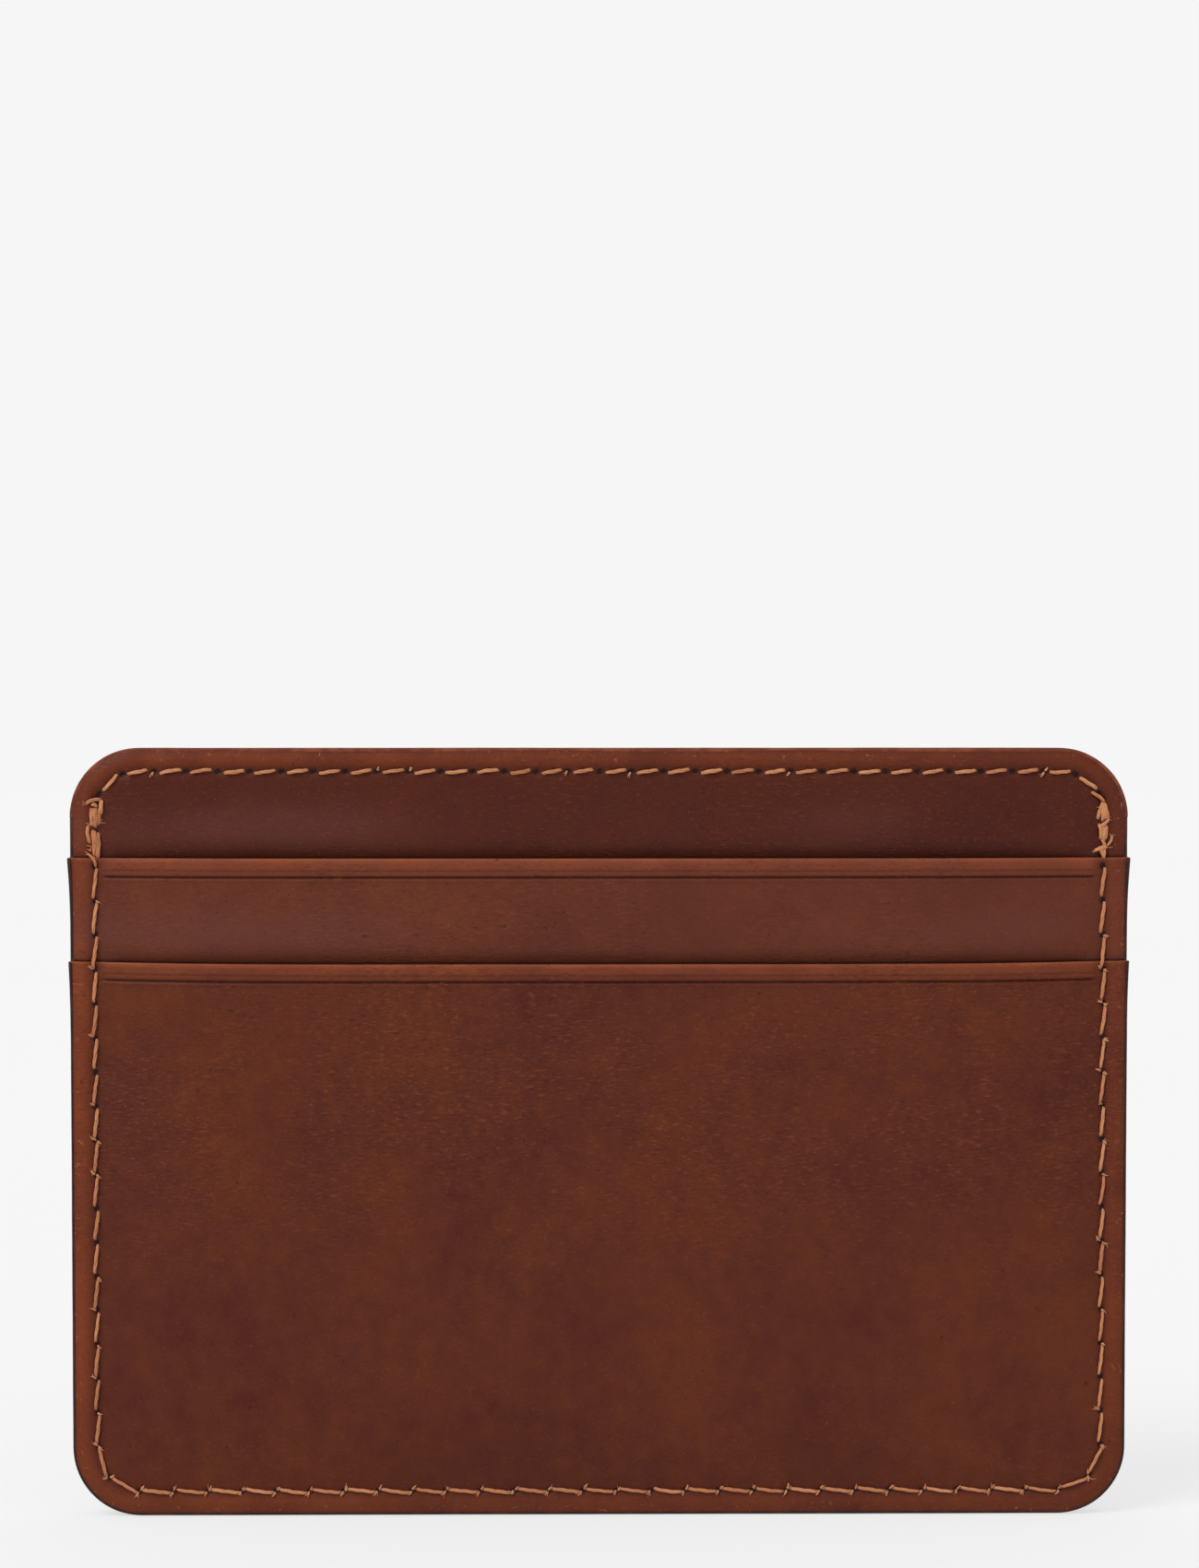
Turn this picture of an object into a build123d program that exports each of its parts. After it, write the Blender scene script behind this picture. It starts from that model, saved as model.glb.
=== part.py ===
"""A slim leather card holder, standing on its bottom edge.

Frame: X is the width, Z is up, and the front faces -Y. The origin is the middle of the bottom edge.
The front and back halves are alike. Each is a stack of four sheets, and the halves are sewn together
round the sides and the bottom, so that a middle compartment opens at the top. In the seam margin the
sheets lie on each other, and inside it they stand apart by the thickness of a card. All depths are
measured outwards from the plane between the halves.
"""

import os

from build123d import *

# Overall size, over the painted edges (mm).
width = 99.5
height = 72.5
corner_radius = 6.5
edge_coat = 0.15

# A standard card (ISO/IEC 7810 ID-1) and the room that each slot leaves for its thickness.
card_width = 85.6
card_thickness = 0.76
slot_gap = 0.8
middle_gap = 0.8

# Sheet thicknesses.
lining_thickness = 0.15
panel_thickness = 0.6
upper_pocket_thickness = 0.45
lower_pocket_thickness = 0.55

# Heights of the two slot mouths, and of the floor of the upper slot.
upper_mouth = 62.1
lower_mouth = 52.4
upper_slot_floor = 13.0

# The flat seam margin, and the ramp from it up to the raised field.
margin = 3.2
ramp = 2.4

# Seams.
thread_width = 0.45
thread_height = 0.3
perimeter_inset = 2.4
perimeter_pitch = 3.2
perimeter_stitch = 2.45
top_inset = 2.2
top_pitch = 2.97
top_stitch = 1.95
top_seam_turn = 51.0
floor_seam_height = 10.6
floor_seam_half_width = 42.0
backtack_top = 67.6
backtack_width = 1.3
backtack_height = 0.5
tack_clearance = 0.2

# Depths in the seam margin: each sheet lies on the one inside it.
lining_outer = lining_thickness
panel_outer = lining_outer + panel_thickness
upper_outer = panel_outer + upper_pocket_thickness
lower_outer = upper_outer + lower_pocket_thickness

# How far each sheet rises from its margin to its field.
middle_rise = middle_gap / 2
upper_rise = middle_rise + slot_gap
lower_rise = upper_rise + slot_gap

# Places where margins end and fields begin.
margin_x = width / 2 - margin
field_x = margin_x - ramp
field_z = margin + ramp
upper_field_z = upper_slot_floor + ramp
straight_x = width / 2 - corner_radius
straight_top = height - corner_radius
beyond = 2 * corner_radius
block_depth = 10.0

assert slot_gap > card_thickness
assert 2 * field_x > card_width

front = Plane.XZ
back = Plane(origin=(0, 0, 0), x_dir=(-1, 0, 0), z_dir=(0, 1, 0))
halves = {"front": front, "back": back}

os.makedirs("parts", exist_ok=True)


def finish(piece, label):
    """Names a finished piece and writes it."""
    piece.part.label = label
    export_step(piece.part, f"parts/{label}.step")


def outline(top, inset):
    """The rounded outline of a sheet, cut off straight at its top."""
    with Locations((0, height / 2)):
        RectangleRounded(width - 2 * inset, height - 2 * inset, corner_radius - inset)
    if top < height:
        with Locations((0, top / 2)):
            Rectangle(width, top, mode=Mode.INTERSECT)


def hump(face, base, rise, low_base, low_top, top, mode):
    """A tapered block that stands up from the margin to the field, open at the sheet's top."""
    sections = []
    for depth, half_width, low in ((base, margin_x, low_base), (base + rise, field_x, low_top)):
        with BuildSketch(face.offset(depth)) as section:
            with Locations((0, (low + top + beyond) / 2)):
                RectangleRounded(2 * half_width, top + beyond - low, half_width - straight_x)
        sections.append(section.sketch)
    loft(sections, mode=mode)


def formed_sheet(face, inner, thickness, humps, top, inset=edge_coat):
    """A sheet with a flat seam margin and a raised field, from its inner depth in the margin."""
    with BuildSketch(face.offset(inner)) as plate:
        outline(height, inset)
    extrude(plate.sketch, amount=thickness)
    for rise, low_base, low_top in humps:
        hump(face, inner + thickness, rise, low_base, low_top, top, Mode.ADD)
    for rise, low_base, low_top in humps:
        hump(face, inner, rise, low_base, low_top, top, Mode.SUBTRACT)
    with BuildSketch(face) as block:
        outline(top, inset)
    extrude(block.sketch, amount=block_depth, mode=Mode.INTERSECT)


def cut_into_convex_solids(cut_z):
    """Cuts a sheet round its flat field, so that the field is a plain plate and each solid nearly convex."""
    for plane in (Plane.YZ.offset(straight_x), Plane.YZ.offset(-straight_x), Plane.XY.offset(cut_z)):
        split(bisect_by=plane, keep=Keep.BOTH)


def stack_depth(z):
    """The depth of the outside of the seam margin at a height."""
    if z < lower_mouth:
        return lower_outer
    if z < upper_mouth:
        return upper_outer
    return panel_outer


def top_seam_depth(z):
    """The depth of the panel's outside where the top seam runs, in its field."""
    return panel_outer + middle_rise


def edge_ring():
    """The thin ring of edge paint round the whole outline."""
    with Locations((0, height / 2)):
        RectangleRounded(width, height, corner_radius)
        RectangleRounded(
            width - 2 * edge_coat,
            height - 2 * edge_coat,
            corner_radius - edge_coat,
            mode=Mode.SUBTRACT,
        )


def stitches(face, path, pitch, length, depth_at):
    """One straight thread float for each stitch along a path, lying on the leather."""
    count = round(path.length / pitch)
    places = {}
    for i in range(count):
        middle = path @ ((i + 0.5) / count)
        way = path % ((i + 0.5) / count)
        lowest = middle.Y - abs(way.Y) * length / 2
        slant = Vector(1, 0).get_signed_angle(way, Vector(0, 0, 1))
        place = Location((middle.X, middle.Y, 0), (0, 0, slant))
        places.setdefault(depth_at(lowest), []).append(place)
    for depth, spots in places.items():
        with BuildSketch(face.offset(depth)) as row:
            with Locations(*spots):
                SlotOverall(length, thread_width)
        extrude(row.sketch, amount=thread_height)


# The low edges of each sheet's raised field: over the middle compartment, and over the upper slot.
middle_hump = (middle_rise, margin, field_z)
upper_low_base = upper_slot_floor - ramp * middle_rise / slot_gap
upper_hump = (upper_rise, upper_low_base, upper_field_z)
lower_hump = (lower_rise, margin, field_z)

# Seam lines, drawn in the plane of a face: X across and Y up.
seam_x = width / 2 - perimeter_inset
with BuildLine() as perimeter_line:
    FilletPolyline(
        (-seam_x, upper_mouth - tack_clearance),
        (-seam_x, perimeter_inset),
        (seam_x, perimeter_inset),
        (seam_x, upper_mouth - tack_clearance),
        radius=corner_radius - perimeter_inset,
    )
with BuildLine() as top_line:
    Line((-straight_x, height - top_inset), (straight_x, height - top_inset))
    CenterArc((straight_x, straight_top), corner_radius - top_inset, 90, -top_seam_turn)
    CenterArc((-straight_x, straight_top), corner_radius - top_inset, 90, top_seam_turn)
with BuildLine() as floor_line:
    Line((-floor_seam_half_width, floor_seam_height), (floor_seam_half_width, floor_seam_height))

for side, face in halves.items():
    # Textile lining of the middle compartment.
    with BuildPart() as lining:
        formed_sheet(face, 0, lining_thickness, [middle_hump], height)
    finish(lining, f"{side}_lining")

    # Leather panel that carries the two pockets.
    with BuildPart() as panel:
        formed_sheet(face, lining_outer, panel_thickness, [middle_hump], height)
        cut_into_convex_solids(field_z)
    finish(panel, f"{side}_panel")

    # Upper pocket: lies on the panel up to its slot floor, then stands off by one card.
    with BuildPart() as upper_pocket:
        humps = [middle_hump, upper_hump]
        formed_sheet(face, panel_outer, upper_pocket_thickness, humps, upper_mouth)
        cut_into_convex_solids(upper_field_z)
    finish(upper_pocket, f"{side}_upper_pocket")

    # Lower pocket: the big outer sheet.
    with BuildPart() as lower_pocket:
        formed_sheet(face, upper_outer, lower_pocket_thickness, [lower_hump], lower_mouth)
        cut_into_convex_solids(field_z)
    finish(lower_pocket, f"{side}_lower_pocket")

    # Hidden row of stitches that closes the upper slot at its floor.
    with BuildPart() as floor_seam:
        floor_depth = upper_outer + middle_rise
        path = floor_line.wires()[0]
        stitches(face, path, perimeter_pitch, perimeter_stitch, lambda z: floor_depth)
    finish(floor_seam, f"{side}_slot_floor_seam")

    # Seam along the top edge, through the panel and its lining.
    with BuildPart() as top_seam:
        stitches(face, top_line.wires()[0], top_pitch, top_stitch, top_seam_depth)
    finish(top_seam, f"{side}_top_seam")

    # Floats of the perimeter seam that show on this half.
    with BuildPart() as perimeter_seam:
        path = perimeter_line.wires()[0]
        stitches(face, path, perimeter_pitch, perimeter_stitch, stack_depth)
    finish(perimeter_seam, f"{side}_perimeter_seam")

    # Painted edge of the panel and its lining, round the top corners and along the top.
    with BuildPart() as top_coat:
        formed_sheet(face, 0, panel_outer, [middle_hump], height, inset=0)
        with BuildSketch(face) as rim:
            edge_ring()
            with Locations((0, straight_top / 2)):
                Rectangle(2 * width, straight_top, mode=Mode.SUBTRACT)
        extrude(rim.sketch, amount=block_depth, mode=Mode.INTERSECT)
        for x in (-field_x, field_x):
            split(bisect_by=Plane.YZ.offset(x), keep=Keep.BOTH)
    finish(top_coat, f"{side}_top_edge_coat")

for side, x in (("left", -1), ("right", 1)):
    # Dense backtack at the top end of the perimeter seam, on the front and on the back.
    with BuildPart() as backtack:
        low = upper_mouth + tack_clearance
        for face, local_x in ((front, x * seam_x), (back, -x * seam_x)):
            with BuildSketch(face.offset(panel_outer)):
                with Locations((local_x, (low + backtack_top) / 2)):
                    SlotOverall(backtack_top - low, backtack_width, rotation=90)
            extrude(amount=backtack_height)
    finish(backtack, f"{side}_backtack")

    # Painted side edge: as deep as the stack of sheets at each height.
    with BuildPart() as side_coat:
        with BuildSketch(Plane.YZ.offset(x * width / 2)):
            for low, top, depth in (
                (corner_radius, lower_mouth, lower_outer),
                (lower_mouth, upper_mouth, upper_outer),
                (upper_mouth, straight_top, panel_outer),
            ):
                with Locations((0, (low + top) / 2)):
                    Rectangle(2 * depth, top - low)
        extrude(amount=-x * edge_coat)
    finish(side_coat, f"{side}_edge_coat")

# Painted bottom edge with its two round corners: the card holder stands on it.
with BuildPart() as bottom_coat:
    with BuildSketch(Plane.XZ):
        edge_ring()
        with Locations((0, (corner_radius + height) / 2)):
            Rectangle(2 * width, height - corner_radius, mode=Mode.SUBTRACT)
    extrude(amount=lower_outer, both=True)
    for x in (-straight_x, straight_x):
        split(bisect_by=Plane.YZ.offset(x), keep=Keep.BOTH)
finish(bottom_coat, "bottom_edge_coat")
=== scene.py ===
"""Looks of the card holder: formed leather sheets, edge paint, sewn thread, linings, studio and camera.

Lengths in the making are millimetres, in the frame's own axes: X is the width, Z is up, and depth is
the distance outwards from the plane between the two halves. The back half is made like the front half
and turned half a turn about Z, with unevenness of its own.
"""

import math
import random

import bpy
import numpy as np
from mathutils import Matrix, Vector


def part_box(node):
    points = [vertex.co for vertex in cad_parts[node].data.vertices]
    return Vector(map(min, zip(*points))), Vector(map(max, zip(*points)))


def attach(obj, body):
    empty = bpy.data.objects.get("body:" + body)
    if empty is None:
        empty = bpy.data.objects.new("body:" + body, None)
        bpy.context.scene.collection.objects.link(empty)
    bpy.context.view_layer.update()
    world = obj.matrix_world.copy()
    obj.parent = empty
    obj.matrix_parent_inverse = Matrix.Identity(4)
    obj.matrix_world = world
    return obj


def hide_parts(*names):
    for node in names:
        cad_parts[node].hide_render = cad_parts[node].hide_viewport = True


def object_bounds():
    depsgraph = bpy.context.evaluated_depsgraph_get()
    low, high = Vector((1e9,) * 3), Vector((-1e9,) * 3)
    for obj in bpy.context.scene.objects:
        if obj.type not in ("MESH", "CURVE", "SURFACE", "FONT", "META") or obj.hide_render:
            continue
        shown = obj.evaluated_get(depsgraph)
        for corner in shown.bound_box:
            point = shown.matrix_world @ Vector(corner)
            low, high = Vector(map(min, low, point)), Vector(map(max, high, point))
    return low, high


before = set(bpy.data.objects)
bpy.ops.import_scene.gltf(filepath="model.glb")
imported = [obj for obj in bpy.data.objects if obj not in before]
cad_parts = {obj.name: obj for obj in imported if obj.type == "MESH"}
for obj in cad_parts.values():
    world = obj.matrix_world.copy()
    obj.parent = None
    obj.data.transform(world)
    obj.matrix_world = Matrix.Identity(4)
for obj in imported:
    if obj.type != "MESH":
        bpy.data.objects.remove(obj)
cad_box = [list(corner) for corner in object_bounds()]

MM = 0.001
SCENE = bpy.context.scene


def box_mm(node):
    """The lowest and highest corner of a CAD node, in millimetres."""
    low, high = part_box(node)
    return [v / MM for v in low], [v / MM for v in high]


# ---------------------------------------------------------------- sizes, read from the frame

WIDTH = (cad_box[1][0] - cad_box[0][0]) / MM
HEIGHT = cad_box[1][2] / MM
RADIUS = box_mm("bottom_edge_coat")[1][2]
STRAIGHT_X = WIDTH / 2 - RADIUS
STRAIGHT_TOP = HEIGHT - RADIUS
COAT = box_mm("left_edge_coat")[1][0] - box_mm("left_edge_coat")[0][0]
TACK_LOW, TACK_TOP = box_mm("left_backtack")[0][2], box_mm("left_backtack")[1][2]
SEAM_X = -(box_mm("left_backtack")[0][0] + box_mm("left_backtack")[1][0]) / 2
SEAM_INSET = WIDTH / 2 - SEAM_X
THREAD = box_mm("front_slot_floor_seam")[1][2] - box_mm("front_slot_floor_seam")[0][2]
FLOOR_SEAM_Z = box_mm("front_slot_floor_seam")[0][2] + THREAD / 2
FLOOR_SEAM_X = box_mm("front_slot_floor_seam")[1][0]
TOP_SEAM_Z = box_mm("front_top_seam")[1][2] - THREAD / 2

# Each sheet's inner depth in the seam margin, its thickness, and how far its field rises from there.
SHEETS = ("lining", "panel", "upper_pocket", "lower_pocket")
INNER = {name: -box_mm(f"front_{name}")[1][1] for name in SHEETS}
EDGE_DEPTH = box_mm("left_edge_coat")[1][1]
OUTER = dict(zip(SHEETS, [INNER[name] for name in SHEETS[1:]] + [EDGE_DEPTH]))
THICK = {name: OUTER[name] - INNER[name] for name in SHEETS}
RISE = {name: -box_mm(f"front_{name}")[0][1] - OUTER[name] for name in SHEETS}
MOUTH = {name: box_mm(f"front_{name}")[1][2] for name in SHEETS[2:]}

# ---------------------------------------------------------------- shape of the leather

MARGIN = 3.1
SIDE_SOFT = 17.0
LOW_SOFT = 13.0
PILLOW = 2.3
SLOT_FLOOR = 12.0
SLOT_FLOOR_SOFT = 9.0
FLARE = {"upper_pocket": 0.28, "lower_pocket": 0.17}
FLARE_LENGTH = 6.5
SAG = {"upper_pocket": 0.05, "lower_pocket": 0.2}
SAG_REACH = 10.0
CREASE = {"upper_pocket": 1.68, "lower_pocket": 1.58}
CREASE_DEPTH = 0.16
CREASE_WIDTH = 0.1
SECOND_LINE = 0.6
MOUTH_BULGE = 0.12
EDGE_ROLL = 0.13
EDGE_ROLLS = (0.6, 0.18)
CHANNEL_DEPTH, CHANNEL_WIDTH = 0.1, 0.42
HOLE_DEPTH, HOLE_SIZE = 0.17, (0.4, 0.3)
EDGE_CROWN, EDGE_CROWN_AT, EDGE_CROWN_WIDTH = 0.1, 1.25, 0.55
PRESSED_ABOVE, PRESSED_HEIGHT = 0.22, 0.9
PITCH = 3.2
TOP_PITCH = 2.97
TOP_TURN = math.radians(60)


def smooth(t):
    """0 below 0, 1 above 1 and an even curve between."""
    t = np.clip(t, 0, 1)
    return t * t * (3 - 2 * t)


def bell(t):
    return np.exp(-(t * t))


def half_width(z, inset, sheet):
    """Half a sheet's width at a height, with its round corners and the flare under a slot mouth."""
    z = np.asarray(z, float)
    r = RADIUS - inset
    reach = np.clip(np.maximum(RADIUS - z, z - STRAIGHT_TOP), 0, r)
    w = STRAIGHT_X + np.sqrt(r * r - reach * reach)
    if sheet in FLARE:
        below = np.clip((MOUTH[sheet] - z) / FLARE_LENGTH, 0, 1)
        w = w + FLARE[sheet] * (1 - below) ** 2
    return w


def edge_distance(x, z, open_top):
    """How far a point is inside the rounded outline. An open top isn't counted."""
    ax = np.abs(x)
    d = np.minimum(WIDTH / 2 - ax, z)
    d = np.where((ax > STRAIGHT_X) & (z < RADIUS), RADIUS - np.hypot(ax - STRAIGHT_X, RADIUS - z), d)
    if not open_top:
        d = np.minimum(d, HEIGHT - z)
        corner = (ax > STRAIGHT_X) & (z > STRAIGHT_TOP)
        d = np.where(corner, RADIUS - np.hypot(ax - STRAIGHT_X, z - STRAIGHT_TOP), d)
    return d


def swell(t):
    """The curve by which the leather rises from the seam margin."""
    return 1 - (1 - np.clip(t, 0, 1)) ** PILLOW


def raised(x, z):
    """0 in the seam margin and 1 in the middle of the field."""
    return swell((WIDTH / 2 - np.abs(x) - MARGIN) / SIDE_SOFT) * swell((z - MARGIN) / LOW_SOFT)


def mouth_line(sheet, x):
    """The height of a slot mouth, which sags a little in the middle."""
    return MOUTH[sheet] - SAG[sheet] * (1 - (2 * x / WIDTH) ** 4)


def inner_depth(sheet, x, z):
    """The smooth depth of a sheet's inner face."""
    rise = RISE[sheet]
    if sheet == "upper_pocket":
        rise = RISE["panel"] + (rise - RISE["panel"]) * smooth((z - SLOT_FLOOR) / SLOT_FLOOR_SOFT)
    return INNER[sheet] + rise * raised(x, z)


class Waves:
    """Gentle seeded unevenness: a few slow sine waves at random angles."""

    def __init__(self, seed, size, low=9.0, high=34.0, count=9):
        rng = random.Random(seed)
        self.size = size / math.sqrt(count)
        self.terms = []
        for _ in range(count):
            k = 2 * math.pi / rng.uniform(low, high)
            turn = rng.uniform(0, math.pi)
            phase, share = rng.uniform(0, 7), rng.uniform(0.5, 1)
            self.terms.append((k * math.cos(turn), k * math.sin(turn), phase, share))

    def __call__(self, x, z):
        return self.size * sum(a * np.sin(kx * x + kz * z + p) for kx, kz, p, a in self.terms)


def unevenness(sheet, seed):
    """A sheet's waves. Sheets that lie on each other share them."""
    panel, pocket = Waves(seed, 0.07), Waves(seed + SHEETS.index(sheet), 0.08)
    if sheet == "lower_pocket":
        return pocket
    if sheet == "upper_pocket":

        def parting(x, z):
            """The panel's waves up to the slot floor, and the pocket's own above it."""
            apart = smooth((z - SLOT_FLOOR) / SLOT_FLOOR_SOFT)
            return panel(x, z) + (pocket(x, z) - panel(x, z)) * apart

        return parting
    return panel


# ---------------------------------------------------------------- seam lines


class Seam:
    """A line of lock stitches in the plane of a face: holes at an even pitch along a path."""

    def __init__(self, points, pitch):
        self.points = np.array(points, float)
        steps = np.hypot(*np.diff(self.points, axis=0).T)
        self.along = np.concatenate([[0], np.cumsum(steps)])
        self.length = self.along[-1]
        self.count = round(self.length / pitch)
        self.pitch = self.length / self.count

    def at(self, s):
        """The point at a length along the path."""
        return np.array([np.interp(s, self.along, self.points[:, k]) for k in (0, 1)])

    def way(self, s):
        """The direction of the path at a length along it."""
        d = self.at(min(s + 0.05, self.length)) - self.at(max(s - 0.05, 0))
        return d / np.hypot(*d)

    def holes(self):
        """Each hole with the path's direction there."""
        return [(self.at(i * self.pitch), self.way(i * self.pitch)) for i in range(self.count + 1)]


def arc(cx, cz, r, start, end, steps=24):
    """Points of an arc, angles in radians."""
    turns = (start + (end - start) * i / steps for i in range(steps + 1))
    return [(cx + r * math.cos(a), cz + r * math.sin(a)) for a in turns]


SEAM_TOP = TACK_LOW - 0.9
_turn = RADIUS - SEAM_INSET
PERIMETER = Seam(
    [(-SEAM_X, SEAM_TOP)]
    + arc(-STRAIGHT_X, RADIUS, _turn, math.pi, 1.5 * math.pi)
    + arc(STRAIGHT_X, RADIUS, _turn, 1.5 * math.pi, 2 * math.pi)
    + [(SEAM_X, SEAM_TOP)],
    PITCH,
)
_turn = TOP_SEAM_Z - STRAIGHT_TOP
TOP_SEAM = Seam(
    arc(-STRAIGHT_X, STRAIGHT_TOP, _turn, math.pi / 2 + TOP_TURN, math.pi / 2)
    + arc(STRAIGHT_X, STRAIGHT_TOP, _turn, math.pi / 2, math.pi / 2 - TOP_TURN),
    TOP_PITCH,
)
FLOOR_SEAM = Seam([(-FLOOR_SEAM_X, FLOOR_SEAM_Z), (FLOOR_SEAM_X, FLOOR_SEAM_Z)], PITCH)
TACK_LINES = {x: Seam([(x, TACK_TOP), (x, SEAM_TOP)], PITCH) for x in (-SEAM_X, SEAM_X)}


def seam_marks(x, z, seams):
    """(channel, holes): how near each point is to a seam line and to its needle holes, 0 to 1."""
    channel, holes = np.zeros_like(x), np.zeros_like(x)
    reach = 1.6
    for seam in seams:
        for i in range(seam.count + 1):
            s = i * seam.pitch
            (px, pz), (tx, tz) = seam.at(s), seam.way(s)
            near = (np.abs(x - px) < seam.pitch + reach) & (np.abs(z - pz) < seam.pitch + reach)
            nx, nz = x[near], z[near]
            if not nx.size:
                continue
            along = (nx - px) * tx + (nz - pz) * tz
            across = -(nx - px) * tz + (nz - pz) * tx
            holes[near] = np.maximum(holes[near], bell(along / HOLE_SIZE[0]) * bell(across / HOLE_SIZE[1]))
            best = channel[near]
            for share in np.linspace(-0.5, 0.5, 9):
                qx, qz = seam.at(np.clip(s + share * seam.pitch, 0, seam.length))
                near_line = bell((nx - qx) / CHANNEL_WIDTH) * bell((nz - qz) / CHANNEL_WIDTH)
                best = np.maximum(best, near_line)
            channel[near] = best
    return channel, holes


# ---------------------------------------------------------------- meshes


def spans(*parts):
    """Points through spans of (start, end, step)."""
    points = [parts[0][0]]
    for start, end, step in parts:
        count = max(1, round(abs(end - start) / step))
        points += [start + (end - start) * (i + 1) / count for i in range(count)]
    return points


def odd(points):
    """The same points, with one more if their number is even, so that every second one reaches both ends."""
    points = list(points)
    if len(points) % 2 == 0:
        middle = len(points) // 2
        points.insert(middle, (points[middle - 1] + points[middle]) / 2)
    return np.array(points)


def mesh_object(name, verts, face_sets, material):
    """A smooth mesh object from millimetre points and arrays of faces with equal numbers of sides."""
    mesh = bpy.data.meshes.new(name)
    verts = np.asarray(verts, np.float32) * MM
    corners = np.concatenate([np.asarray(f).ravel() for f in face_sets]).astype(np.int32)
    totals = np.concatenate([np.full(len(f), np.shape(f)[1]) for f in face_sets]).astype(np.int32)
    starts = (np.cumsum(totals) - totals).astype(np.int32)
    mesh.vertices.add(len(verts))
    mesh.vertices.foreach_set("co", verts.ravel())
    mesh.loops.add(len(corners))
    mesh.loops.foreach_set("vertex_index", corners)
    mesh.polygons.add(len(totals))
    mesh.polygons.foreach_set("loop_start", starts)
    mesh.polygons.foreach_set("loop_total", totals)
    mesh.polygons.foreach_set("use_smooth", np.ones(len(totals), bool))
    mesh.update(calc_edges=True)
    mesh.validate()
    mesh.materials.append(material)
    obj = bpy.data.objects.new(name, mesh)
    SCENE.collection.objects.link(obj)
    return obj


def set_marks(obj, name, values):
    """A number for each vertex, which the materials read."""
    layer = obj.data.attributes.new(name, "FLOAT", "POINT")
    layer.data.foreach_set("value", np.asarray(values, dtype=np.float32))


def placed(x, z, depth, side):
    """Row-frame points from a face's own x, height and depth. The back is turned about Z."""
    turn = 1 if side == "front" else -1
    return np.stack([turn * x, -turn * depth, z], axis=-1)


def add_piece(obj, slot, *nodes):
    """Hides the CAD nodes that a piece stands for and puts it on its body. The slot, its finish, is not
    used.
    """
    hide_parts(*nodes)
    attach(obj, "root")
    return obj


def quads(number):
    """Faces of a grid of vertex numbers."""
    return np.stack([number[:-1, :-1], number[:-1, 1:], number[1:, 1:], number[1:, :-1]], -1).reshape(-1, 4)


RIM_STEPS = 5
COVERED_BY = {"panel": "upper_pocket", "upper_pocket": "lower_pocket"}
TONE = {"lining": 0.0, "panel": -1.0, "upper_pocket": 1.0, "lower_pocket": 0.0}


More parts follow.
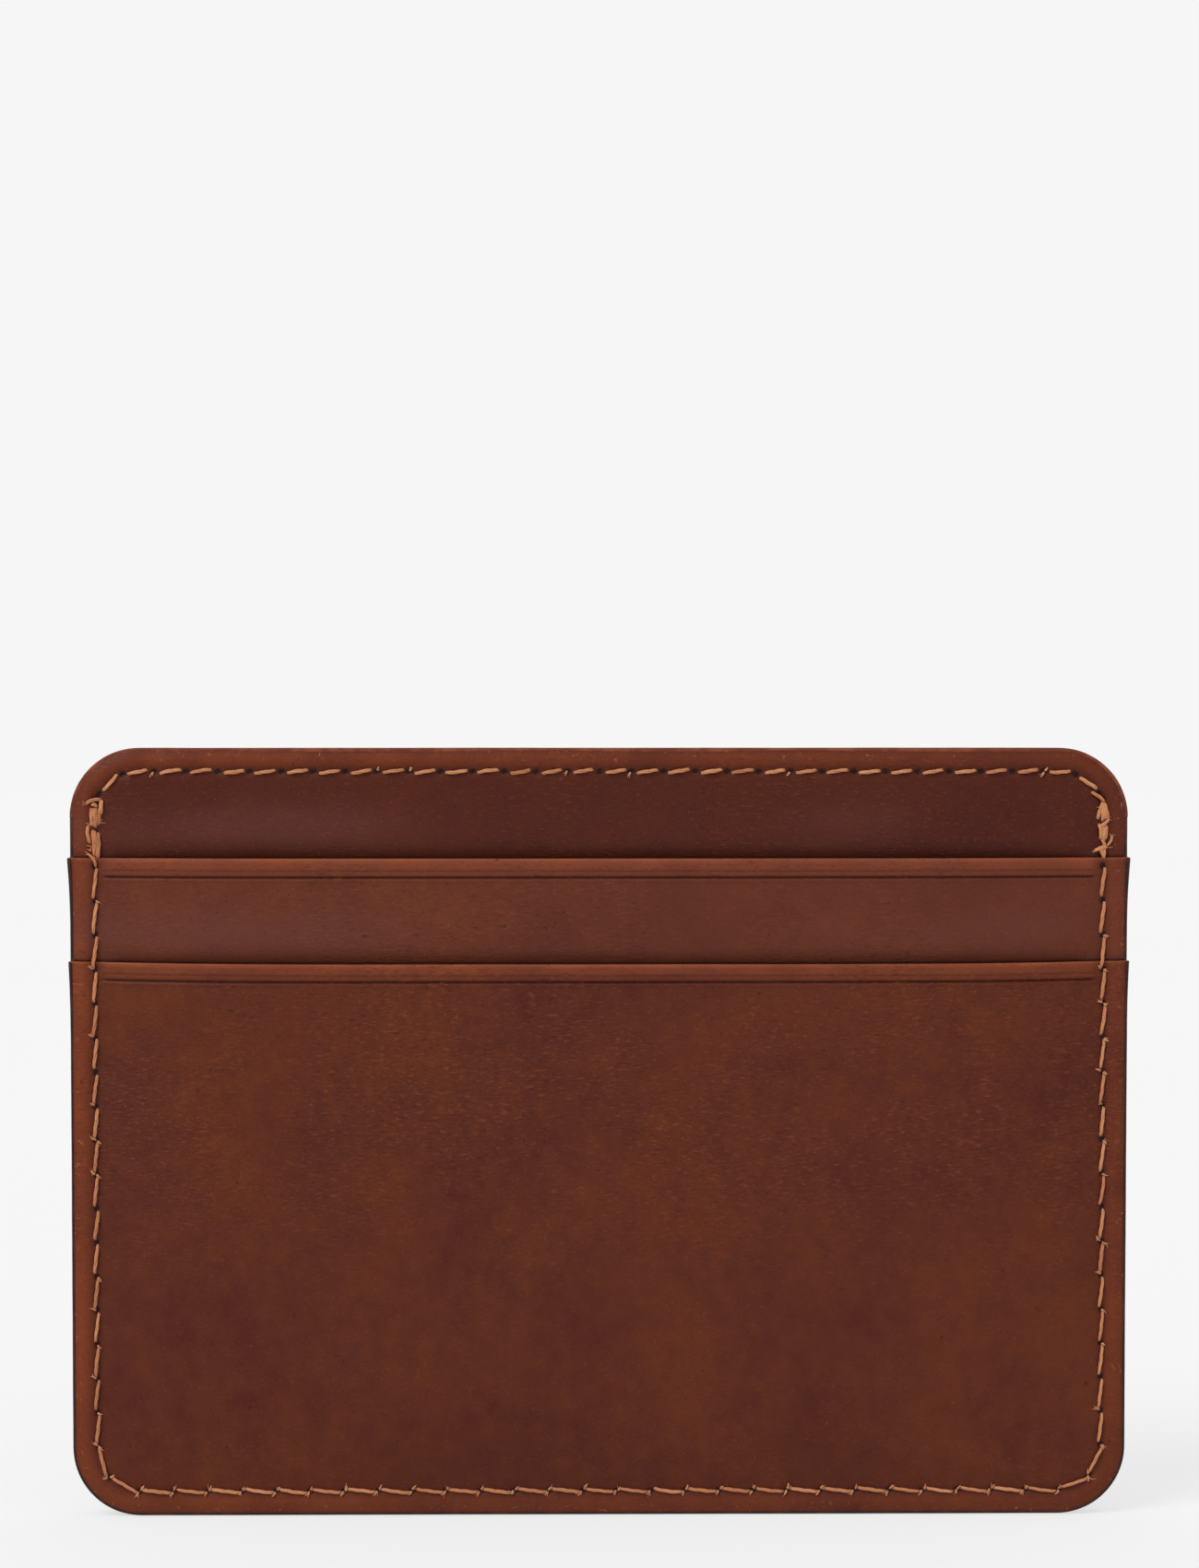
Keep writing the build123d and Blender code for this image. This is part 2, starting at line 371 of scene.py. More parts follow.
def sheet_object(side, sheet, rows, columns, material, seams, uneven):
    """One closed sheet: outer face, rounded rim and a coarser inner face."""
    mouth = sheet in MOUTH
    top = rows[-1]
    row_z = rows[:, None] + 0 * columns[None, :]
    x = columns[None, :] * half_width(rows, COAT, sheet)[:, None]
    z = row_z.copy()
    if mouth:
        z -= (MOUTH[sheet] - mouth_line(sheet, x)) * smooth((row_z - top + SAG_REACH) / SAG_REACH)
    edge = edge_distance(x, row_z, mouth)
    inner = inner_depth(sheet, x, z) + uneven(x, z) * raised(x, z)
    channel, holes = seam_marks(x, z, seams)
    outer = inner + THICK[sheet] - CHANNEL_DEPTH * channel - HOLE_DEPTH * holes
    outer += EDGE_CROWN * bell((edge - EDGE_CROWN_AT) / EDGE_CROWN_WIDTH)
    for width in EDGE_ROLLS:
        outer -= EDGE_ROLL * bell(np.maximum(edge - COAT, 0) / width)
    lip_highlight, groove, slit_shade, painted_sheen = (np.zeros_like(x) for _ in range(4))
    if sheet in COVERED_BY:
        above = z - mouth_line(COVERED_BY[sheet], x)
        # Painted shade: a dark line on the sheet just above the covering pocket's mouth, where the gap
        # between the sheets lies in shadow, fading upwards.
        slit_shade = np.where(above < 0.12, 1, 0.78 * bell((above - 0.12) / 0.18) + 0.22 * bell(above / 1.0))
        # Painted sheen: a greyish reflection a few millimetres above the covering pocket's mouth, stronger
        # towards the sides.
        painted_sheen = bell((above - 3.2) / 2.0) * (above > 0) * (0.15 + 0.85 * smooth((np.abs(x) - 14) / 14))
        outer -= PRESSED_ABOVE * bell(above / PRESSED_HEIGHT) * smooth((edge - 3) / 2)
    if mouth:
        below = top - row_z
        between = smooth((SEAM_X - 0.3 - np.abs(x)) / 1.0)
        # Painted shade: the crease lines and the faint line above them are darkened through the groove mark.
        groove = between * bell((below - CREASE[sheet]) / CREASE_WIDTH)
        second = between * bell((below - CREASE[sheet] + SECOND_LINE) / 0.1)
        band = smooth((CREASE[sheet] - below) / 0.25)
        outer += 0.07 * between * band * smooth(below / 0.4) - CREASE_DEPTH * groove - 0.04 * second
        outer += 0.05 * between * bell((below - CREASE[sheet] - 0.3) / 0.16)
        # Painted highlight: the top rim of the slot lip and the band below it made lighter, as if lit from
        # above, fading towards the crease.
        lip_highlight = 0.4 * bell(below / 0.16) + between * band * (0.34 - 0.22 * smooth((below - 0.5) / 0.8))
        groove = groove + 0.4 * second
    marks = {
        "edge": bell(np.maximum(edge, 0) / 2.2),
        "lip_highlight": lip_highlight,
        # Painted shade also where the leather rolls down into the edge paint.
        "groove": np.maximum(groove, 0.55 * bell(np.maximum(edge - COAT, 0) / 0.3)),
        "channel": channel,
        "hole": holes,
        "slit_shade": slit_shade,
        "painted_sheen": painted_sheen,
        "tone": np.full_like(x, TONE[sheet]),
    }
    nr, nc = x.shape
    ring_r = np.concatenate(
        [np.zeros(nc, int), np.arange(1, nr), np.full(nc - 1, nr - 1), np.arange(nr - 2, 0, -1)]
    )
    ring_c = np.concatenate(
        [np.arange(nc), np.full(nr - 1, nc - 1), np.arange(nc - 2, -1, -1), np.zeros(nr - 2, int)]
    )
    count = len(ring_r)
    number = np.arange(nr * nc).reshape(nr, nc)
    verts = [placed(x, z, outer, side).reshape(-1, 3)]
    values = {key: [mark.ravel()] for key, mark in marks.items()}
    fours = [quads(number)]
    bx, bz, b_out, b_in = (a[ring_r, ring_c] for a in (x, z, outer, inner))
    tx, tz = np.roll(bx, -1) - np.roll(bx, 1), np.roll(bz, -1) - np.roll(bz, 1)
    size = np.maximum(np.hypot(tx, tz), 1e-9)
    bulge = np.where(mouth & (ring_r == nr - 1), MOUTH_BULGE, 0)
    previous, start = number[ring_r, ring_c], nr * nc
    after = np.roll(np.arange(count), -1)
    for k in range(1, RIM_STEPS + 1):
        turn = math.pi * k / (RIM_STEPS + 1)
        depth = b_out + (b_in - b_out) * (1 - math.cos(turn)) / 2
        out = bulge * math.sin(turn) ** 0.7
        verts.append(placed(bx + tz / size * out, bz - tx / size * out, depth, side))
        for key, mark in marks.items():
            values[key].append(mark[ring_r, ring_c] * (key in ("edge", "lip_highlight", "slit_shade", "tone")))
        now = start + np.arange(count)
        fours.append(np.stack([previous[after], previous, now, now[after]], -1))
        previous, start = now, start + count
    verts.append(placed(x[::2, ::2], z[::2, ::2], inner[::2, ::2], side).reshape(-1, 3))
    inside = start + np.arange(verts[-1].shape[0]).reshape(x[::2, ::2].shape)
    for key in marks:
        values[key].append(np.zeros(inside.size))
    fours.append(quads(inside)[:, ::-1])
    a = np.arange(0, count, 2)
    b = (a + 2) % count
    ends = [inside[ring_r[i] // 2, ring_c[i] // 2] for i in (a, b)]
    fives = np.stack([previous[b], previous[a + 1], previous[a], *ends], -1)
    obj = mesh_object(f"{side}_{sheet}_sheet", np.concatenate(verts), [*fours, fives], material)
    for key, parts in values.items():
        set_marks(obj, key, np.concatenate(parts))
    return obj


# ---------------------------------------------------------------- edge paint

PAINT_WRAP = ((-0.2, 0.16), (-0.12, 0.17), (-0.05, 0.18))
PAINT_SHOULDER = 0.17
PAINT_ACROSS = 41
PAINT_BULGE = 0.15


def paint_object(name, path, material, seed):
    """A thin coat of paint round an edge.

    path holds (x, z, nx, nz, middle, half, grooves): a point on the leather's outline, the way outwards,
    the middle and half of the edge's depth there, as Y, and the Y of the joints between the layers.
    """
    rng = random.Random(seed)
    share = np.sin(np.linspace(-math.pi / 2, math.pi / 2, PAINT_ACROSS))
    rings = []
    drift = 0.0
    for x, z, nx, nz, middle, half, grooves in path:
        drift = 0.92 * drift + rng.gauss(0, 0.003)
        body = half - PAINT_SHOULDER
        y = body * share
        out = (PAINT_BULGE + drift) * (1 - np.abs(share) ** 4) ** 0.6
        for groove in grooves:
            out -= 0.035 * bell((y + middle - groove) / 0.06)
        wrap_out = np.array([w[0] for w in PAINT_WRAP])
        wrap_y = half - np.array([w[1] for w in PAINT_WRAP])
        outs = np.concatenate([wrap_out, out, wrap_out[::-1], [-0.25, -0.25]])
        ys = np.concatenate([-wrap_y, y, wrap_y[::-1], [half - 0.25, 0.25 - half]])
        rings.append(np.stack([x + nx * outs, middle + ys, z + nz * outs], -1))
    rings = np.array(rings)
    n, m = rings.shape[:2]
    number = np.arange(n * m).reshape(n, m)
    wrapped = np.concatenate([number, number[:, :1]], axis=1)
    caps = [number[:1, ::-1], number[-1:, :]]
    return mesh_object(name, rings.reshape(-1, 3), [quads(wrapped)[:, ::-1], *caps], material)


def perimeter_path():
    """The sewn edge, from the top of the left side round the bottom to the top of the right side."""
    levels = [
        (STRAIGHT_TOP, MOUTH["upper_pocket"] + 0.02, "panel", OUTER["panel"]),
        (MOUTH["upper_pocket"], MOUTH["lower_pocket"] + 0.02, "upper_pocket", OUTER["upper_pocket"]),
        (MOUTH["lower_pocket"], RADIUS, "lower_pocket", OUTER["lower_pocket"]),
    ]
    left = []
    for top, low, sheet, half in levels:
        grooves = [0.0] + [s * INNER[n] for n in SHEETS[2:] if INNER[n] < half - 0.1 for s in (-1, 1)]
        for z in spans((top, low, 0.5)):
            left.append((-float(half_width(z, COAT, sheet)), z, -1.0, 0.0, 0.0, half, grooves))
    half, r = OUTER["lower_pocket"], RADIUS - COAT
    grooves = left[-1][6]
    turn = []
    for i in range(1, 25):
        a = math.pi + math.pi / 2 * i / 24
        nx, nz = math.cos(a), math.sin(a)
        turn.append((-STRAIGHT_X + r * nx, RADIUS + r * nz, nx, nz, 0.0, half, grooves))
    low = [(x, COAT, 0.0, -1.0, 0.0, half, grooves) for x in spans((-STRAIGHT_X, 0, 0.8))[1:]]
    first = left + turn + low
    return first + [(-x, z, -nx, nz, m, h, g) for x, z, nx, nz, m, h, g in first[-2::-1]]


def top_edge_path(side):
    """One half's own edge above the sewn part: round the top corners and along the top."""
    r = RADIUS - COAT
    spots = [(-STRAIGHT_X - r, STRAIGHT_TOP, -1.0, 0.0)]
    for i in range(1, 25):
        a = math.pi - math.pi / 2 * i / 24
        nx, nz = math.cos(a), math.sin(a)
        spots.append((-STRAIGHT_X + r * nx, STRAIGHT_TOP + r * nz, nx, nz))
    spots += [(x, HEIGHT - COAT, 0.0, 1.0) for x in spans((-STRAIGHT_X, 0, 0.8))[1:]]
    spots += [(-x, z, -nx, nz) for x, z, nx, nz in spots[-2::-1]]
    turn = -1 if side == "front" else 1
    path = []
    for x, z, nx, nz in spots:
        low = float(inner_depth("lining", x, z))
        high = float(inner_depth("panel", x, z)) + THICK["panel"]
        joint = low + THICK["lining"]
        path.append((x, z, nx, nz, turn * (low + high) / 2, (high - low) / 2, [turn * joint]))
    return path


# ---------------------------------------------------------------- thread

PLIES = 3
PLY_RADIUS = 0.125
PLY_ORBIT = 0.1
TWIST_LENGTH = 3.4
FLAT = 0.75
# A float's shape: places along it, as shares of its length, and its height over the leather at each.
FLOAT_ALONG = np.array([-0.1, -0.03, 0.03, 0.09, 0.17, 0.3, 0.43, 0.57, 0.7, 0.83, 0.91, 0.97, 1.03, 1.1])
_rising = [-0.5, -0.26, -0.04, 0.1, 0.15, 0.18, 0.19]
FLOAT_HEIGHT = np.array(_rising + _rising[::-1])


class Tubes:
    """Gathers thin round tubes into one mesh."""

    def __init__(self):
        self.verts, self.fours, self.caps, self.shade, self.count = [], [], [], [], 0

    def add(self, centres, radii, sides=7, shade=0.5):
        """One tube along centres, with a radius for each point."""
        centres = np.asarray(centres, float)
        ways = np.gradient(centres, axis=0)
        ways /= np.linalg.norm(ways, axis=1)[:, None]
        across = np.cross(ways, [0.0, 1.0, 0.0])
        weak = np.linalg.norm(across, axis=1) < 0.2
        across[weak] = np.cross(ways[weak], [0.31, 0.0, 0.95])
        across /= np.linalg.norm(across, axis=1)[:, None]
        for i in range(1, len(across)):
            if np.dot(across[i], across[i - 1]) < 0:
                across[i] = -across[i]
        up = np.cross(ways, across)
        turns = np.linspace(0, 2 * math.pi, sides, endpoint=False)
        ring = np.cos(turns)[None, :, None] * across[:, None, :]
        ring = ring + np.sin(turns)[None, :, None] * up[:, None, :]
        points = centres[:, None, :] + ring * np.asarray(radii, float)[:, None, None]
        n = len(centres)
        number = self.count + np.arange(n * sides).reshape(n, sides)
        self.verts.append(points.reshape(-1, 3))
        self.fours.append(quads(np.concatenate([number, number[:, :1]], axis=1))[:, ::-1])
        self.caps += [number[0][None, :], number[-1][None, ::-1]]
        self.shade.append(np.full(n * sides, shade))
        self.count += n * sides

    def object(self, name, material):
        by_size = {}
        for cap in self.caps:
            by_size.setdefault(cap.shape[1], []).append(cap)
        faces = [np.concatenate(self.fours)] + [np.concatenate(caps) for caps in by_size.values()]
        obj = mesh_object(name, np.concatenate(self.verts), faces, material)
        set_marks(obj, "shade", np.concatenate(self.shade))
        return obj


def add_float(tubes, side, rng, start, end, depth_at, lift=0.0, size=1.0, bow=0.0):
    """One twisted float of thread from hole to hole, in a face's own x and height."""
    start, end = np.array(start), np.array(end)
    along = np.interp(np.linspace(0, 1, 30), np.linspace(0, 1, len(FLOAT_ALONG)), FLOAT_ALONG)
    height = np.interp(along, FLOAT_ALONG, FLOAT_HEIGHT)
    height = height + lift * np.sin(np.clip(along, 0, 1) * math.pi) ** 0.4
    way = end - start
    length = np.hypot(*way)
    way = way / length
    normal = np.array([-way[1], way[0]])
    x = start[0] + way[0] * length * along + normal[0] * bow * np.sin(np.pi * along)
    z = start[1] + way[1] * length * along + normal[1] * bow * np.sin(np.pi * along)
    depth = depth_at(x, z) + height
    phase = rng.uniform(0, 2 * math.pi)
    shade = rng.uniform(0.3, 0.7)
    for k in range(PLIES):
        turn = 2 * math.pi * (length * along / TWIST_LENGTH + k / PLIES) + phase
        spread = size * (0.72 + 0.34 * np.sin(np.pi * np.clip(along, 0.02, 0.98)) ** 0.6)
        sideways = PLY_ORBIT * spread * np.cos(turn)
        upwards = FLAT * PLY_ORBIT * spread * np.sin(turn)
        points = placed(x + normal[0] * sideways, z + normal[1] * sideways, depth + upwards, side)
        radii = PLY_RADIUS * (0.35 * size + 0.62 * spread) * rng.uniform(0.88, 1.1)
        tubes.add(points, radii, shade=shade + rng.uniform(-0.12, 0.12))


def add_tuft(tubes, side, rng, at, way, depth_at, length=0.5, hairs=3, core=True):
    """A frayed tuft of thread fibres that stands out of a hole."""
    share = np.linspace(0, 1, 7)
    base = math.atan2(way[1], way[0])
    for k in range(hairs + core):
        is_core = core and k == 0
        turn = base + (0 if is_core else rng.gauss(0, 0.3))
        size = length * (rng.uniform(0.75, 0.95) if is_core else rng.uniform(0.6, 1.15))
        curl = rng.gauss(0, 0.25) * size
        x0, z0 = at[0] + rng.gauss(0, 0.05), at[1] + rng.gauss(0, 0.05)
        x = x0 + math.cos(turn) * size * share - math.sin(turn) * curl * share**2
        z = z0 + math.sin(turn) * size * share + math.cos(turn) * curl * share**2
        rise = rng.uniform(0.05, 0.2)
        depth = depth_at(x, z) - 0.1 * (1 - share) ** 2 + 0.06 + rise * np.sin(share * 2.4)
        thick = rng.uniform(0.1, 0.13) if is_core else rng.uniform(0.03, 0.05)
        tubes.add(placed(x, z, depth, side), thick * (1 - 0.7 * share**1.5), 6, rng.uniform(0.3, 0.8))


def sewn_object(name, side, seam, depth_at, material, seed, size, seen, lean, fray):
    """A row of floats.

    size is the thread's thickness beside the full one, seen is the share of the pitch that a float
    covers, lean is how far its ends stand off the seam line, and fray gives the chance of a tuft at
    each hole.
    """
    rng = random.Random(seed)
    tubes = Tubes()
    for i in range(seam.count):
        low = (i + (1 - seen) / 2) * seam.pitch + rng.gauss(0, 0.05)
        high = (i + (1 + seen) / 2) * seam.pitch + rng.gauss(0, 0.05)
        ends = []
        for s, off in ((low, lean), (high, -lean)):
            p, t = seam.at(s), seam.way(s)
            off += rng.gauss(0, 0.025)
            ends.append(p + np.array([-t[1], t[0]]) * off)
        own_size, bow = size * rng.uniform(0.92, 1.08), rng.gauss(0, 0.03)
        add_float(tubes, side, rng, *ends, depth_at, size=own_size, bow=bow)
    for p, t in seam.holes()[1:-1]:
        n = np.array([-t[1], t[0]])
        sloped = n * 0.85 + t * 0.5
        for sign in (1, -1):
            if rng.random() < fray(p):
                at = p + sign * (n * 0.12 + t * 0.1)
                add_tuft(tubes, side, rng, at, sign * sloped, depth_at, length=rng.uniform(0.35, 0.6))
    return tubes.object(name, material)


def stepped_depth(x, z):
    """The outside of the seam margin under the perimeter seam, eased over each slot mouth."""
    ease = 1.2
    depth = OUTER["panel"] + 0 * np.asarray(x)
    for sheet, under in (("upper_pocket", "panel"), ("lower_pocket", "upper_pocket")):
        depth = depth + THICK[sheet] * smooth((MOUTH[sheet] + ease - z) / ease)
    return depth - 0.05


def panel_depth(x, z):
    return inner_depth("panel", x, z) + THICK["panel"] - 0.05


def floor_depth(x, z):
    return inner_depth("upper_pocket", x, z) + THICK["upper_pocket"] - 0.02


# Strands of each crowded end of the perimeter seam: start and end as (sideways, below the top), then
# the strand's height over the leather, its size and its bow. Sideways is along the face's own x.
CROWDED = {
    "left": (
        (-0.3, 0.9, -0.3, 2.95, 0.02, 0.95, 0.0),
        (0.05, 0.8, 0.0, 3.05, 0.08, 1.0, 0.04),
        (0.42, 0.9, 0.3, 2.8, 0.05, 0.9, 0.05),
        (0.55, 0.0, 0.5, 1.6, 0.1, 0.9, 0.05),
        (-0.85, 0.45, 0.6, -0.05, 0.12, 0.85, 0.2),
        (-0.35, 0.5, 0.25, 0.7, 0.1, 0.8, 0.1),
        (-0.15, 1.0, 0.15, 2.6, 0.2, 0.85, 0.0),
        (-0.68, 2.9, -0.45, 5.0, 0.02, 0.8, -0.12),
        (-0.2, 3.5, 0.0, 6.4, 0.05, 1.0, 0.05),
        (0.25, 3.8, 0.28, 6.6, 0.08, 1.0, 0.05),
        (0.0, 3.6, 0.2, 5.2, 0.2, 0.7, 0.0),
        (-0.7, 6.1, 0.1, 7.3, 0.02, 0.6, 0.12),
        (-0.1, 6.5, 0.1, 7.6, 0.0, 0.6, 0.0),
    ),
    "right": (
        (-1.1, -0.9, 0.15, 0.3, 0.1, 0.75, 0.1),
        (0.05, 0.2, -0.45, 2.2, 0.05, 0.9, -0.05),
        (0.1, 0.3, 0.0, 2.4, 0.1, 1.0, 0.0),
        (0.15, 0.4, 0.42, 2.4, 0.08, 0.95, 0.05),
        (-0.1, 1.0, 0.2, 2.2, 0.2, 0.9, 0.0),
        (0.65, 2.2, -0.25, 3.1, 0.2, 0.7, 0.0),
        (-0.3, 2.8, -0.2, 4.5, 0.06, 0.95, 0.08),
        (0.1, 2.7, 0.1, 4.7, 0.1, 1.0, 0.0),
        (0.4, 2.9, 0.3, 4.5, 0.05, 0.9, -0.08),
        (0.85, 4.1, 0.45, 5.3, 0.12, 0.6, 0.1),
        (-0.1, 4.5, 0.2, 5.7, 0.05, 0.75, 0.05),
        (-0.75, 5.9, 0.45, 5.4, 0.15, 0.8, 0.1),
        (-0.2, 5.4, 0.1, 6.7, 0.02, 0.85, 0.0),
        (0.2, 5.6, 0.0, 6.6, 0.05, 0.7, 0.0),
    ),
}
# Frayed ends among them: sideways, below the top, and the way that they stand out.
TUFTS_AT = {
    "left": (
        (-0.8, 0.4, -1, 0.1),
        (0.4, 2.6, 1, 0.3),
        (-0.5, 2.9, -0.6, 0.6),
        (-0.6, 6.1, -0.8, 0.2),
    ),
    "right": (
        (-0.2, 0, -0.4, 0.8),
        (0.4, 2.2, 0.9, -0.2),
        (0.7, 4.2, 0.7, 0.7),
        (0.5, 5.5, 1, 0.05),
        (-0.5, 5.8, -1, 0.1),
    ),
}
CROWDED_LENGTH = 6.5


def backtack_object(label, material, seed):
    """The crowded stitches at a top end of the perimeter seam, on both halves."""
    rng = random.Random(seed)
    tubes = Tubes()
    for side in ("front", "back"):
        ends = ("left", "right") if side == "front" else ("right", "left")
        own = label if side == "front" else ends[label == "left"]
        top = np.array([-SEAM_X if (label == "left") == (side == "front") else SEAM_X, TACK_TOP])
        tall = (TACK_TOP - TACK_LOW) / CROWDED_LENGTH
        for x0, d0, x1, d1, lift, size, bow in CROWDED[own]:
            start, end = top + [x0, -d0 * tall], top + [x1, -d1 * tall]
            start, end = start + [rng.gauss(0, 0.03), 0], end + [rng.gauss(0, 0.03), 0]
            add_float(tubes, side, rng, start, end, stepped_depth, lift=lift, size=size, bow=bow)
        for x, d, way_x, way_z in TUFTS_AT[own]:
            at = top + [x, -d * tall]
            add_tuft(tubes, side, rng, at, (way_x, way_z), stepped_depth, rng.uniform(0.35, 0.6), 4, False)
        for _ in range(6):
            at = top + [rng.uniform(-0.4, 0.4), -rng.uniform(0.3, 6.2) * tall]
            way = (rng.choice((-1, 1)), rng.uniform(-1.5, 1.5))
            lifted = rng.uniform(0.1, 0.35)
            add_tuft(tubes, side, rng, at, way, lambda a, b: stepped_depth(a, b) + lifted, 0.4, 2, False)
    return tubes.object(f"{label}_backtack_thread", material)


# ---------------------------------------------------------------- materials


def srgb(r, g, b):
    """A screen colour of 0 to 255 as a linear one."""
    shares = (c / 255 for c in (r, g, b))
    return tuple(c / 12.92 if c < 0.04045 else ((c + 0.055) / 1.055) ** 2.4 for c in shares) + (1,)


class Nodes:
    """Short ways to write a node tree."""

    def __init__(self, name):
        self.material = bpy.data.materials.new(name)
        self.material.use_nodes = True
        self.tree = self.material.node_tree
        self.tree.nodes.clear()
        self.shader = self.new("ShaderNodeBsdfPrincipled")
        output = self.new("ShaderNodeOutputMaterial")
        self.tree.links.new(self.shader.outputs[0], output.inputs[0])
        self.where = self.new("ShaderNodeTexCoord").outputs["Object"]

    def new(self, kind, **settings):
        node = self.tree.nodes.new(kind)
        for key, value in settings.items():
            setattr(node, key, value)
        return node

    def put(self, socket, value):
        """Links an output to a socket, or sets the socket's own value."""
        if isinstance(value, bpy.types.NodeSocket):
            self.tree.links.new(value, socket)
        else:
            socket.default_value = value

    def scaled(self, x, y, z):
        """Object coordinates times a scale for each axis, per millimetre."""
        node = self.new("ShaderNodeMapping", vector_type="POINT")
        self.put(node.inputs["Vector"], self.where)
        node.inputs["Scale"].default_value = (x / MM, y / MM, z / MM)
        return node.outputs[0]

    def noise(self, scale, detail=3.0, rough=0.5, distort=0.0, stretch=(1, 1, 1)):
        """Noise with its scale per millimetre."""
        node = self.new("ShaderNodeTexNoise")
        self.put(node.inputs["Vector"], self.scaled(*(scale * s for s in stretch)))
        node.inputs["Scale"].default_value = 1.0
        node.inputs["Detail"].default_value = detail
        node.inputs["Roughness"].default_value = rough
        node.inputs["Distortion"].default_value = distort
        return node.outputs["Fac"]

    def mark(self, name):
        node = self.new("ShaderNodeAttribute", attribute_name=name)
        return node.outputs["Fac"]

    def math(self, kind, a, b):
        node = self.new("ShaderNodeMath", operation=kind)
        for socket, value in zip(node.inputs, (a, b)):
            self.put(socket, value)
        return node.outputs[0]

    def ramp(self, value, low, high, to_low=0.0, to_high=1.0):
        """A smooth step from one pair of values to another."""
        node = self.new("ShaderNodeMapRange", interpolation_type="SMOOTHSTEP")
        for socket, v in zip(node.inputs, (value, low, high, to_low, to_high)):
            self.put(socket, v)
        return node.outputs[0]

    def colours(self, value, *stops):
        """A colour ramp of (place, colour) stops."""
        node = self.new("ShaderNodeValToRGB")
        elements = node.color_ramp.elements
        while len(elements) < len(stops):
            elements.new(0.5)
        for element, (place, colour) in zip(elements, stops):
            element.position = place
            element.color = colour
        self.put(node.inputs[0], value)
        return node.outputs[0]

    def mix(self, share, a, b):
        """Colour a, mixed with colour b by a share."""
        node = self.new("ShaderNodeMix", data_type="RGBA", blend_type="MIX")
        self.put(node.inputs["Factor"], share)
        self.put(node.inputs[6], a)
        self.put(node.inputs[7], b)
        return node.outputs[2]

    def bump(self, height, strength, distance, under=None):
        """A bump of a height, with its depth in millimetres."""
        node = self.new("ShaderNodeBump")
        node.inputs["Strength"].default_value = strength
        node.inputs["Distance"].default_value = distance * MM
        self.put(node.inputs["Height"], height)
        if under is not None:
            self.put(node.inputs["Normal"], under)
        return node.outputs[0]

    def finish(self, colour, rough, normal=None, **fixed):
        self.put(self.shader.inputs["Base Color"], colour)
        self.put(self.shader.inputs["Roughness"], rough)
        if normal is not None:
            self.put(self.shader.inputs["Normal"], normal)
        for key, value in fixed.items():
            self.shader.inputs[key.replace("_", " ")].default_value = value
        return self.material


